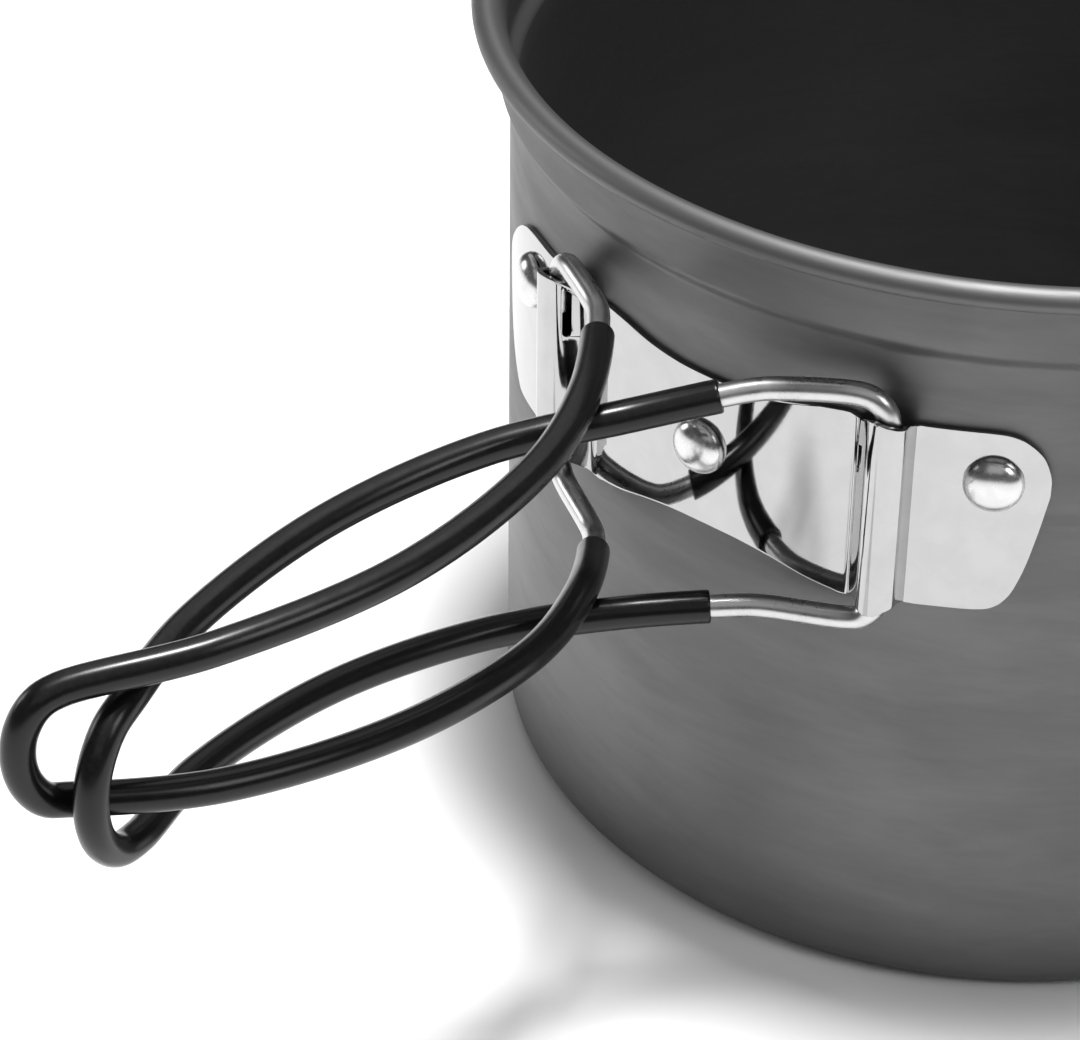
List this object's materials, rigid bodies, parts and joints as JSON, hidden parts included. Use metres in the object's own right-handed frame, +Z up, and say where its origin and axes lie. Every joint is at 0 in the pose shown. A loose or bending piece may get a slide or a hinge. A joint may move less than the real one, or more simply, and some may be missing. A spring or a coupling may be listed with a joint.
{
  "type": "camping cooking pot",
  "caption": "Camping cooking pot with a rolled lip and folding sleeved wire handles on a riveted bracket.",
  "frame": {"origin": "centre of the pot's underside", "axes": "+X out of the pot through the middle of the handle bracket, +Z up out of the pot's mouth"},
  "size_m": [0.2517, 0.1502, 0.112],
  "materials": {
    "anodised_aluminium": "satin, hard anodised grey",
    "polished_steel": "polished stainless steel",
    "black_sleeve": "smooth, glossy"
  },
  "bodies": {
    "pot": {"pot_body": "anodised_aluminium", "handle_bracket": "polished_steel", "rivet_left": "polished_steel", "rivet_centre": "polished_steel", "rivet_right": "polished_steel"},
    "left_handle": {"left_handle_wire": "polished_steel", "left_handle_sleeve": "black_sleeve"},
    "right_handle": {"right_handle_wire": "polished_steel", "right_handle_sleeve": "black_sleeve"}
  },
  "joints": [
    {"name": "left_fold", "type": "hinge", "parent": "pot", "child": "left_handle", "pos_m": [0.06898, -0.02538, 0.076], "axis": [0, 0, 1], "range_deg": [-160, 0]},
    {"name": "right_fold", "type": "hinge", "parent": "pot", "child": "right_handle", "pos_m": [0.06898, 0.02538, 0.076], "axis": [0, 0, 1], "range_deg": [0, 172]}
  ]
}
